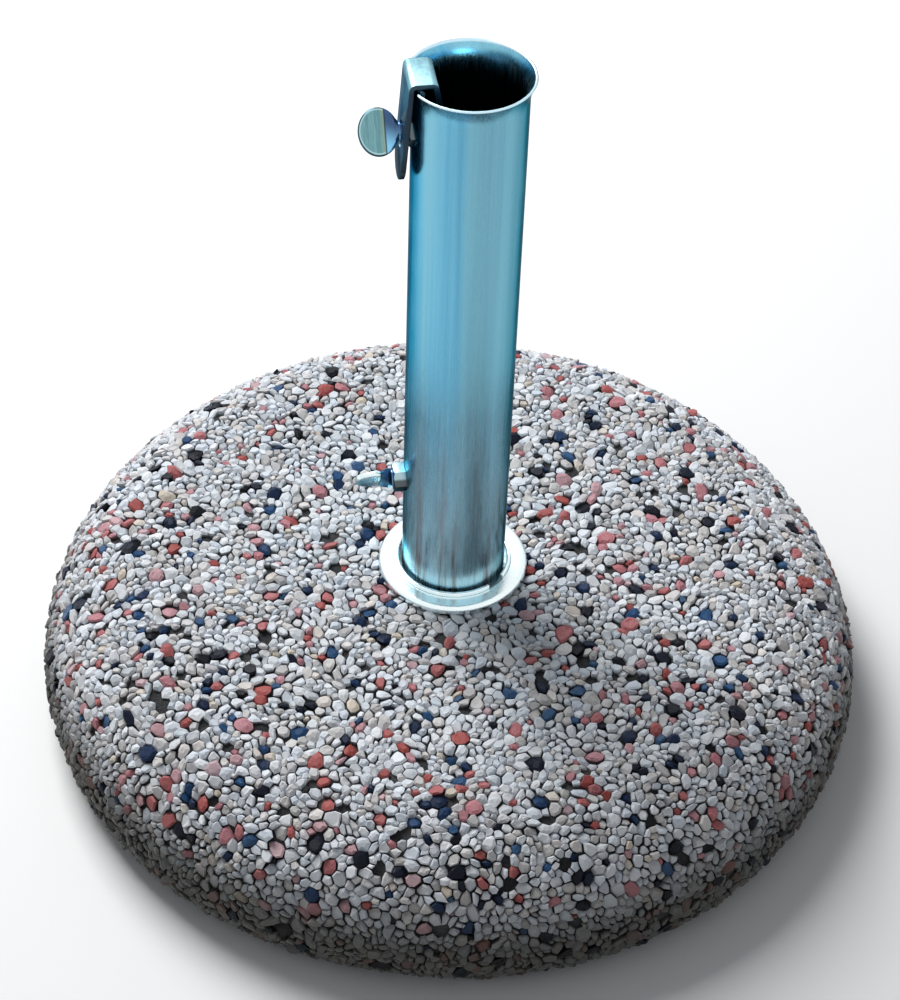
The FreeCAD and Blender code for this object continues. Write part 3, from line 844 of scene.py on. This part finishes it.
@dataclass
class Upright:
    """The tube that takes the pole, with its flared lip left straight under the strap."""

    wall: float = 1.5 * MM
    flare_out: float = 2.8 * MM
    flare_height: float = 7.0 * MM
    seat_half_width: float = 13.5 * MM
    nut_hole: float = 5.55 * MM
    segments: int = 144
    merge: float = 0.002 * MM
    # Of the colours below, the second is a painted reflection of the slab low on the tube, and the last three
    # are painted shade in the bore, a painted highlight on the lip and a painted sheen under the rim.
    band: Colour = (0.34, 0.62, 0.66)
    low_painted_reflection: Colour = (0.48, 0.72, 0.80)
    scratch: Colour = (0.30, 0.28, 0.27)
    brown: Colour = (0.16, 0.13, 0.13)
    bore_painted_shade: Colour = (0.004, 0.007, 0.012)
    lip_painted_highlight: Colour = (0.70, 0.90, 1.0)
    bore_painted_sheen: Stops = ((0.35, (0.34, 0.58, 0.82)), (0.48, (0.74, 0.90, 0.92)), (0.62, (0.80, 0.78, 0.50)))

    def __post_init__(self) -> None:
        """Read the tube's foot and rim from the frame."""
        low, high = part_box("upright_tube")
        self.foot, self.rim = low.z, high.z

    def profile(self, flared: bool) -> Profile:
        """Closed section of the wall, with or without the flare."""
        steps, plain_top = 12, self.rim - self.flare_height - 4.0 * MM
        outer, inner = [], []
        for i in range(steps + 1):
            share = i / steps
            z = plain_top + (self.rim - 0.7 * MM - plain_top) * share
            flare = self.flare_out * share ** 2.0 if flared else 0.0
            outer.append((TUBE_RADIUS + flare, z))
            inner.append((TUBE_RADIUS + flare - self.wall * (1.0 - 0.04 * share), z))
        lip_out, lip_in = outer[-1], inner[-1]
        middle = (lip_out[0] + lip_in[0]) / 2.0
        crest = arc((middle, lip_out[1]), (lip_out[0] - lip_in[0]) / 2.0, 0.0, 180.0, 6)[1:-1]
        low = [(TUBE_RADIUS, self.foot + (plain_top - self.foot) * i / 6.0) for i in range(6)]
        back = [(TUBE_RADIUS - self.wall, z) for _, z in reversed(low)]
        return low + outer + crest + inner[::-1] + back

    def tube(self) -> bpy.types.Object:
        """Tube as two sectors of wall that share one closed skin, with the nuts' holes cut."""
        half = math.degrees(math.asin(self.seat_half_width / (TUBE_RADIUS + self.flare_out)))
        columns = []
        for flared, start, sweep in ((False, CLAMP_AZIMUTH - half, 2.0 * half),
                                     (True, CLAMP_AZIMUTH + half, 360.0 - 2.0 * half)):
            count = max(8, round(self.segments * sweep / 360.0))
            profile = self.profile(flared)
            columns += [column(profile, start + sweep * i / count) for i in range(count + 1)]
        tube = mesh_object("upright", close_mesh(skin(columns, True, False)))
        for node in ("upper_weld_nut", "lower_weld_nut"):
            low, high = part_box(node)
            self.drill(tube, (low.z + high.z) / 2.0)
        drilled = bmesh.new()
        drilled.from_mesh(tube.data)
        tube.data = smooth_by_angle(close_mesh(drilled, self.merge), 40.0)
        return tube

    def drill(self, tube: bpy.types.Object, level: float) -> None:
        """Cut one nut's hole through the wall on the clamp side."""
        rings = [hoop(x, self.nut_hole, level, 32) for x in (15.0 * MM, 35.0 * MM)]
        mesh = close_mesh(skin(rings, False, True))
        to_clamp_side(mesh)
        cutter = mesh_object("drill", mesh)
        modifier = tube.modifiers.new("hole", "BOOLEAN")
        modifier.operation = "DIFFERENCE"
        modifier.solver = "EXACT"
        modifier.object = cutter
        work(tube)
        bpy.data.objects.remove(cutter)

    def shade(self, graph: Graph, colour: Wire) -> Wire:
        """Greyer plating towards the foot as a painted reflection of the slab, browner streaks there, a
        painted highlight on the lip, and painted shade with a painted sheen band in the bore.
        """
        height = graph.axis(2)
        bands = graph.spread(graph.noise(graph.place((48.0, 48.0, 1.5)), detail=2.0), 0.42, 0.6)
        colour = graph.mix(bands * 0.4, colour, self.band)
        # Painted reflection of the slab: paler, greyer plating towards the foot.
        low = graph.spread(height, 90.0 * MM, 240.0 * MM, 1.0, 0.0)
        colour = graph.mix(low * 0.8, colour, self.low_painted_reflection)
        lines = graph.spread(graph.noise(graph.place((170.0, 170.0, 9.0)), 1.0, 4.0, 0.6), 0.46, 0.66)
        colour = graph.mix(low * lines * 0.7, colour, self.scratch)
        foot = graph.spread(height, 88.0 * MM, 125.0 * MM, 1.0, 0.0)
        colour = graph.mix(foot * lines * 0.7, colour, self.brown)
        # Painted shade deep in the bore.
        inside = graph.spread(graph.radius(), TUBE_RADIUS - 1.2 * MM, TUBE_RADIUS - 0.7 * MM, 1.0, 0.0)
        deep_shade = graph.spread(height, self.rim - 16.0 * MM, self.rim - 6.0 * MM, 1.0, 0.0)
        # Painted sheen: a band of reflection just under the rim inside the bore.
        painted_sheen = graph.ramp(graph.noise(graph.place((60.0, 60.0, 140.0)), detail=2.0), self.bore_painted_sheen)
        band = graph.spread(height, self.rim - 9.0 * MM, self.rim - 4.0 * MM) * inside
        colour = graph.mix(band * 0.95, colour, painted_sheen)
        colour = graph.mix(inside * deep_shade * 0.94, colour, self.bore_painted_shade)
        # Painted highlight along the lip.
        lip = graph.spread(height, self.rim - 1.3 * MM, self.rim - 0.6 * MM)
        return graph.mix(lip * 0.8, colour, self.lip_painted_highlight)

    def build(self) -> None:
        """Make and dress the tube."""
        dress(self.tube(), TUBE_ZINC.build(self.shade), Body.BASE, "zinc_tube", "upright_tube")


@dataclass
class FootRing:
    """Cover ring on the slab and the split collar inside it."""

    gap_middle: float = -38.0
    gap_angle: float = 20.0
    collar_outer: float = 30.0 * MM
    collar_wall: float = 2.0 * MM
    collar_round: float = 0.8 * MM
    ring_fit: float = 0.1 * MM
    ring_rounds: tuple[float, float] = (0.4 * MM, 2.6 * MM)
    segments: int = 160

    @staticmethod
    def rounded(radii: tuple[float, float], node: str, inside: float, outside: float) -> Profile:
        """Ring section as high as a CAD node, with its two upper edges rounded by a radius each."""
        inner, outer = radii
        low, high = (corner.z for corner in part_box(node))
        profile = [(inner, low), (outer, low)]
        profile += arc((outer - outside, high - outside), outside, 0.0, 90.0, 10)
        profile += arc((inner + inside, high - inside), inside, 90.0, 180.0, 8)
        return profile

    def build(self) -> None:
        """Make and dress the ring and the collar."""
        zinc = RING_ZINC.build()
        ring_radii = self.collar_outer + self.ring_fit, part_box("flange_ring")[1].x
        ring = self.rounded(ring_radii, "flange_ring", *self.ring_rounds)
        collar_radii = self.collar_outer - self.collar_wall, self.collar_outer
        collar = self.rounded(collar_radii, "split_collar", self.collar_round, self.collar_round)
        for name, node, mesh in (
                ("cover_ring", "flange_ring", turned(ring, self.segments)),
                ("spring_collar", "split_collar", turned(
                    collar, self.segments, self.gap_middle + self.gap_angle / 2.0, 360.0 - self.gap_angle))):
            dress(mesh_object(name, smooth_by_angle(close_mesh(mesh))), zinc, Body.BASE, "zinc_bright", node)


# ---- clamp -------------------------------------------------------------------------


@dataclass
class CadPiece:
    """A pressed or cut steel piece that keeps its CAD shape and gets softened edges."""

    node: str
    name: str
    body: Body
    slot: str
    bevel: float = 0.25 * MM
    # The first two colours are painted shade, on the nuts and down the strap's legs.
    NUT_PAINTED_SHADE = (0.045, 0.04, 0.038)
    LEG_PAINTED_SHADE = (0.055, 0.10, 0.18)
    DULL_END = (0.06, 0.065, 0.06)
    DARK_SIDE = (0.02, 0.03, 0.045)

    @classmethod
    def shade_nut(cls, graph: Graph, colour: Wire) -> Wire:
        """Brown-black painted shade on the lower half of the lower nut, whose faces look down, and all round
        the upper one, which lies in the strap's shadow.
        """
        height = graph.axis(2)
        # Painted shade on the lower nut's lower half and on the whole upper nut.
        lower = graph.spread(height, 145.4 * MM, 146.8 * MM, 0.85, 0.0)
        upper = graph.spread(height, 300.0 * MM, 301.0 * MM, 0.0, 0.75)
        return graph.mix(lower + upper, colour, cls.NUT_PAINTED_SHADE)

    @classmethod
    def shade_strap(cls, graph: Graph, colour: Wire) -> Wire:
        """Painted shade down the strap's legs, darker than its top, dull at their ends and dark at its sides.
        """
        height = graph.axis(2)
        # Painted shade: the strap's legs darkened against its top.
        leg_shade = graph.spread(height, 378.5 * MM, 381.8 * MM, 1.0, 0.0)
        cloud = graph.spread(graph.noise(graph.place((120.0, 120.0, 55.0))), 0.35, 0.65, 0.7, 1.0)
        colour = graph.mix(leg_shade * cloud * 0.9, colour, cls.LEG_PAINTED_SHADE)
        end = graph.spread(height, 338.0 * MM, 350.0 * MM, 1.0, 0.0)
        colour = graph.mix(end * 0.8, colour, cls.DULL_END)
        side = graph.spread(graph.math("ABSOLUTE", graph.axis(1, -CLAMP_AZIMUTH)), 10.6 * MM, 10.85 * MM)
        return graph.mix(side * 0.85, colour, cls.DARK_SIDE)

    def build(self, material: bpy.types.Material) -> None:
        """Copy the CAD mesh, merge it, bevel its edges and dress it."""
        bm = bmesh.new()
        bm.from_mesh(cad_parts[self.node].data)
        bmesh.ops.remove_doubles(bm, verts=bm.verts, dist=0.002 * MM)
        bmesh.ops.dissolve_limit(bm, angle_limit=math.radians(1.0), verts=bm.verts, edges=bm.edges)
        obj = mesh_object(self.name, close_mesh(bm))
        modifier = obj.modifiers.new("edges", "BEVEL")
        modifier.width = self.bevel
        modifier.segments = 2
        modifier.limit_method = "ANGLE"
        modifier.angle_limit = math.radians(38.0)
        work(obj)
        smooth_by_angle(obj.data, 32.0)
        dress(obj, material, self.body, self.slot, self.node)


@dataclass
class ThumbScrew:
    """A thumb screw: a threaded stud and a flat oval head with tapered cheeks."""

    name: str
    head_node: str
    stud_node: str
    head_body: Body
    stud_body: Body
    turn: float
    # Next: how much painted light pales the whole head, then the painted tone at its outline, which is
    # painted shade on the upper head and a painted highlight on the lower.
    pale: float
    edge: Colour
    across: float = 22.0 * MM
    length: float = 18.55 * MM
    thickness: float = 3.0 * MM
    neck_radius: float = 4.6 * MM
    tip_radius: float = 2.5 * MM
    pitch: float = 1.25 * MM
    shank: float = 3.97 * MM
    neck: float = 0.13
    crease: float = 0.345
    oval_middle: float = 0.503
    oval_half: float = 0.4975
    # The first of these colours is painted light for the whole face; the last two are painted shade along the
    # crease and a painted highlight on the bevel.
    painted_light_face: Colour = (0.58, 0.80, 0.88)
    warm_face: Colour = (0.34, 0.40, 0.22)
    cheek_low: Colour = (0.26, 0.66, 1.0)
    cheek_high: Colour = (0.02, 0.06, 0.20)
    crease_painted_shade: Colour = (0.02, 0.04, 0.06)
    bevel_painted_highlight: Colour = (0.62, 0.84, 0.92)

    def __post_init__(self) -> None:
        """Find the axis's height and where the tip and the head start, out from the tube's axis."""
        low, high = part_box(self.stud_node)
        self.level = (low.z + high.z) / 2.0
        self.tip = self.outward(high.x, self.tip_radius)
        self.start = self.outward(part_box(self.head_node)[1].x, self.neck_radius)

    @staticmethod
    def outward(nearest: float, radius: float) -> float:
        """Distance from the tube's axis of a round face, from the highest X that it reaches."""
        angle = math.radians(CLAMP_AZIMUTH)
        return (nearest - radius * abs(math.sin(angle))) / math.cos(angle)

    def section(self, share: float) -> tuple[float, float, float]:
        """Half width, half thickness and edge rounding of the head at a share of its length."""
        width = self.across / 2.0 * max(0.0, 1.0 - ((share - self.oval_middle) / self.oval_half) ** 2) ** 0.5
        if share <= self.neck:
            width = max(width, self.neck_radius * (1.0 - 0.1 * share / self.neck))
            thick = self.neck_radius * (1.0 - 0.08 * share / self.neck)
            return width, thick, thick * 0.98
        fall = min(1.0, (share - self.neck) / (self.crease - self.neck))
        waist = self.neck_radius * 0.92
        thick = waist + (self.thickness / 2.0 - waist) * fall
        end = max(0.0, (share - 0.93) / 0.07)
        thick *= (1.0 - end ** 2 * 0.9) ** 0.5
        return width, thick, min(width, thick) * (0.98 - 0.2 * fall)

    @staticmethod
    def slab_ring(x: float, width: float, thick: float, edge: float, steps: int = 6) -> list[Vector]:
        """Cross-section at x: a bar with rounded edges, with the same number of points each time."""
        ring = []
        for side, lift, start in ((1, 1, 0.0), (-1, 1, 90.0), (-1, -1, 180.0), (1, -1, 270.0)):
            for i in range(steps + 1):
                angle = math.radians(start + 90.0 * i / steps)
                ring.append(Vector((x, side * (width - edge) + edge * math.cos(angle),
                                    lift * (thick - edge) + edge * math.sin(angle))))
        return ring

    def head(self) -> bpy.types.Object:
        """Head as a loft of rounded bars with a crease across it, turned about the screw's axis."""
        shares = [0.0, 0.03, 0.08, 0.13, 0.17, 0.21, 0.25, 0.29]
        shares += [self.crease + step for step in (-0.01, 0.0, 0.01)]
        shares += [self.crease + 0.01 + 0.58 * i / 16.0 for i in range(1, 17)]
        shares += [0.95, 0.965, 0.977, 0.987, 0.994, 0.998, 1.0]
        rings = [self.slab_ring(self.start + share * self.length, *self.section(share)) for share in shares]
        mesh = close_mesh(skin(rings, False, True))
        mesh.transform(Matrix.Rotation(math.radians(self.turn), 4, "X"))
        mesh.transform(Matrix.Translation((0.0, 0.0, self.level)))
        to_clamp_side(mesh)
        return mesh_object(self.name + "_head", smooth_by_angle(mesh, 20.0))

    def shade(self, graph: Graph, colour: Wire) -> Wire:
        """Painted light over the whole head by its share, bluer cheeks, painted shade along the crease, a
        painted highlight on the bevel inside the edge, and a painted tone at the edge.
        """
        out, side, height = [graph.axis(index, -CLAMP_AZIMUTH) for index in range(3)]
        rise = height - self.level
        # Painted light: the head paled by its share.
        colour = graph.mix(self.pale, colour, self.painted_light_face)
        crease = self.start + self.crease * self.length
        before, after = crease - 0.15 * MM, crease + 0.15 * MM
        warm = graph.spread(out, crease, crease + 2.6 * MM, 0.55, 0.0)
        colour = graph.mix(warm, colour, self.warm_face)
        cheek = graph.spread(out, before, after, 1.0, 0.0)
        blue = graph.mix(graph.spread(rise, -5.0 * MM, 5.0 * MM), self.cheek_low, self.cheek_high)
        colour = graph.mix(cheek * 0.85, colour, blue)
        # Painted shade along the crease.
        line = graph.spread(out, crease - 0.45 * MM, before)
        line = line * graph.spread(out, after, crease + 0.5 * MM, 1.0, 0.0)
        colour = graph.mix(line * 0.8, colour, self.crease_painted_shade)
        along = (out - (self.start + self.oval_middle * self.length)) / (self.oval_half * self.length)
        edge = along * along + (side * side + rise * rise) / (self.across / 2.0) ** 2
        # Painted highlight on the bevel inside the edge.
        bevel = graph.spread(edge, 0.76, 0.82) * graph.spread(edge, 0.86, 0.90, 1.0, 0.0)
        outside = graph.spread(out, crease, crease + 1.0 * MM)
        colour = graph.mix(bevel * outside * 0.6, colour, self.bevel_painted_highlight)
        # Painted tone at the edge: painted shade on the upper head, a painted highlight on the lower.
        return graph.mix(graph.spread(edge, 0.88, 0.95) * outside * 0.9, colour, self.edge)

    def stud(self, tree: Tree, material: bpy.types.Material) -> bpy.types.Object:
        """Stud with a helical thread, a plain neck and a chamfered tip."""
        steps = round((self.start - self.tip) / (0.1 * MM))
        rings = []
        for k in range(steps + 1):
            x = self.tip + (self.start - 0.05 * MM - self.tip) * k / steps
            rings.append(hoop(x, min(self.shank, self.tip_radius + (x - self.tip)), self.level, 36))
        rod = mesh_object("rod", close_mesh(skin(rings, False, True)))
        stud = tree.run(rod, self.name + "_stud", {
            "Pitch": self.pitch, "Depth": 0.62 * MM, "From": self.tip + 1.3 * MM,
            "To": self.start - 1.2 * MM, "Level": self.level, "Radius": self.shank, "Material": material})
        bpy.data.objects.remove(rod)
        to_clamp_side(stud.data)
        smooth_by_angle(stud.data, 30.0)
        return stud

    def build(self, tree: Tree) -> None:
        """Make and dress the head and the stud."""
        material = SCREW_ZINC.build(self.shade)
        dress(self.head(), material, self.head_body, "zinc_screw", self.head_node)
        dress(self.stud(tree, material), material, self.stud_body, "zinc_screw", self.stud_node)


@dataclass(frozen=True)
class CastSteel:
    """Steel that is hidden in the slab and keeps its CAD mesh: wire, spokes, sleeve and its floor."""

    wire: Colour = (0.035, 0.032, 0.03)
    sleeve: Colour = (0.42, 0.50, 0.54)

    def steel(self, name: str, colour: Colour, metallic: float) -> bpy.types.Material:
        """Plain steel with a cloudy surface."""
        material, graph = new_material(name)
        cloud = graph.noise(graph.place(), 120.0, 4.0)
        dull = tuple(0.6 * part for part in colour)
        graph.finish(base_color=graph.mix(graph.spread(cloud, 0.35, 0.65), colour, dull), metallic=metallic,
                     roughness=graph.spread(cloud, 0.3, 0.7, 0.35, 0.6))
        return material

    def build(self) -> None:
        """Dress the CAD nodes."""
        black = self.steel("drawn_wire", self.wire, 0.6)
        zinc = self.steel("inner_zinc", self.sleeve, 1.0)
        for node, material in (("reinforcement_ring", black), ("anchor_spokes", black),
                               ("anchor_sleeve", zinc), ("sleeve_floor", zinc)):
            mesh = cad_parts[node].data
            mesh.materials.clear()
            mesh.materials.append(material)
            LOG.info("%s: CAD mesh dressed", node)


# ---- studio ------------------------------------------------------------------------


@dataclass
class Studio:
    """Pale floor, soft light and the camera."""

    focal_share: float = 2.496
    position: Colour = (0.02951, -0.92182, 0.99351)
    tilt: float = 43.326
    heading: float = 1.992
    roll: float = 2.166
    sky: Colour = (0.92, 0.96, 1.0)
    sky_strength: float = 0.24
    lamp_place: Colour = (-0.95, 1.15, 1.8)
    lamp_aim: Colour = (0.0, 0.0, 0.15)
    lamp_size: float = 1.2
    lamp_power: float = 60.0

    def camera(self) -> None:
        """Camera that looks down at the base from the front."""
        data = bpy.data.cameras.new("view")
        data.sensor_width = 36.0
        data.lens = self.focal_share * data.sensor_width
        data.clip_start = 0.01
        camera = bpy.data.objects.new("view", data)
        turn = Matrix.Rotation(math.radians(self.heading), 4, "Z")
        turn @= Matrix.Rotation(math.radians(90.0 - self.tilt), 4, "X")
        turn @= Matrix.Rotation(math.radians(self.roll), 4, "Z")
        camera.matrix_world = Matrix.Translation(self.position) @ turn
        bpy.context.scene.collection.objects.link(camera)
        bpy.context.scene.camera = camera

    @staticmethod
    def white_for_view(graph: Graph, lit: Wire) -> None:
        """Show white to the camera and to reflections, and the lit shader to the rest."""
        rays = graph.add("ShaderNodeLightPath", {}, {}, "Is Camera Ray")
        seen = graph.math("MINIMUM", rays + rays["Is Glossy Ray"] + rays["Is Transmission Ray"], 1.0)
        white = graph.add("ShaderNodeBackground", {}, {"Color": (1.0, 1.0, 1.0, 1.0), "Strength": 1.0})
        shader = graph.add("ShaderNodeMixShader", {}, {0: seen, 1: lit, 2: white})
        graph.add("ShaderNodeOutputWorld", {}, {"Surface": shader})

    def world(self) -> None:
        """Even light from all round, white behind the object."""
        world = bpy.data.worlds.new("studio")
        bpy.context.scene.world = world
        world.use_nodes = True
        graph = Graph(world.node_tree)
        lit = graph.add("ShaderNodeBackground", {},
                        {"Color": (*self.sky, 1.0), "Strength": self.sky_strength})
        self.white_for_view(graph, lit)

    def floor(self) -> None:
        """Pale floor that keeps the object's shadow."""
        bm = bmesh.new()
        bmesh.ops.create_grid(bm, x_segments=8, y_segments=8, size=6.0)
        mesh = bpy.data.meshes.new("floor")
        bm.to_mesh(mesh)
        bm.free()
        mesh.transform(Matrix.Translation((0.0, 0.0, -0.2 * MM)))
        floor = mesh_object("floor", mesh)
        material, graph = new_material("pale_floor")
        graph.finish(base_color=(0.93, 0.93, 0.93), roughness=0.8)
        mesh.materials.append(material)

    def lamp(self) -> None:
        """Soft square lamp aimed at the middle of the object."""
        data = bpy.data.lights.new("key", "AREA")
        data.size = self.lamp_size
        data.energy = self.lamp_power
        lamp = bpy.data.objects.new("key", data)
        turn = (Vector(self.lamp_aim) - Vector(self.lamp_place)).to_track_quat("-Z", "Y")
        lamp.matrix_world = Matrix.Translation(self.lamp_place) @ turn.to_matrix().to_4x4()
        bpy.context.scene.collection.objects.link(lamp)

    def build(self) -> None:
        """Set up the whole studio."""
        bpy.context.scene.view_settings.view_transform = "Standard"
        self.camera()
        self.world()
        self.floor()
        self.lamp()


# ---- assembly ----------------------------------------------------------------------


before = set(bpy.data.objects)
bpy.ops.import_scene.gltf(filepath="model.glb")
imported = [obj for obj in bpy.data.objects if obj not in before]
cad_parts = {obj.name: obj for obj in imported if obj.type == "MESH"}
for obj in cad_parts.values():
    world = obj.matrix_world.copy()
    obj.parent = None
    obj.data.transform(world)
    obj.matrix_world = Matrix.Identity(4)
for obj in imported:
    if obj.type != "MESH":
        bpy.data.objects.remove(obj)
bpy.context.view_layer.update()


def main() -> None:
    """Build every sub-assembly in order."""
    logging.basicConfig(level=logging.INFO, format="%(message)s")
    Studio().build()
    ConcreteSlab().build()
    Upright().build()
    FootRing().build()
    plate = PLATE_ZINC.build(CadPiece.shade_nut)
    strap = STRAP_ZINC.build(CadPiece.shade_strap)
    CadPiece("clamp_strap", "hooked_strap", Body.STRAP, "zinc_plate").build(strap)
    for level in ("upper", "lower"):
        CadPiece(level + "_weld_nut", level + "_nut", Body.BASE, "zinc_plate", 0.2 * MM).build(plate)
    thread = ThreadTree()
    # The last two values of each screw: its share of painted light, and its edge's painted tone, painted
    # shade for the upper head and a painted highlight for the lower.
    ThumbScrew("upper_thumbscrew", "upper_screw_head", "upper_screw_stud", Body.UPPER_HEAD, Body.UPPER_STUD,
               -46.5, 0.0, (0.03, 0.05, 0.07)).build(thread)
    ThumbScrew("lower_thumbscrew", "lower_screw_head", "lower_screw_stud", Body.LOWER_HEAD, Body.LOWER_STUD,
               56.0, 0.45, (0.85, 0.97, 1.0)).build(thread)
    CastSteel().build()


if __name__ == "__main__":
    main()
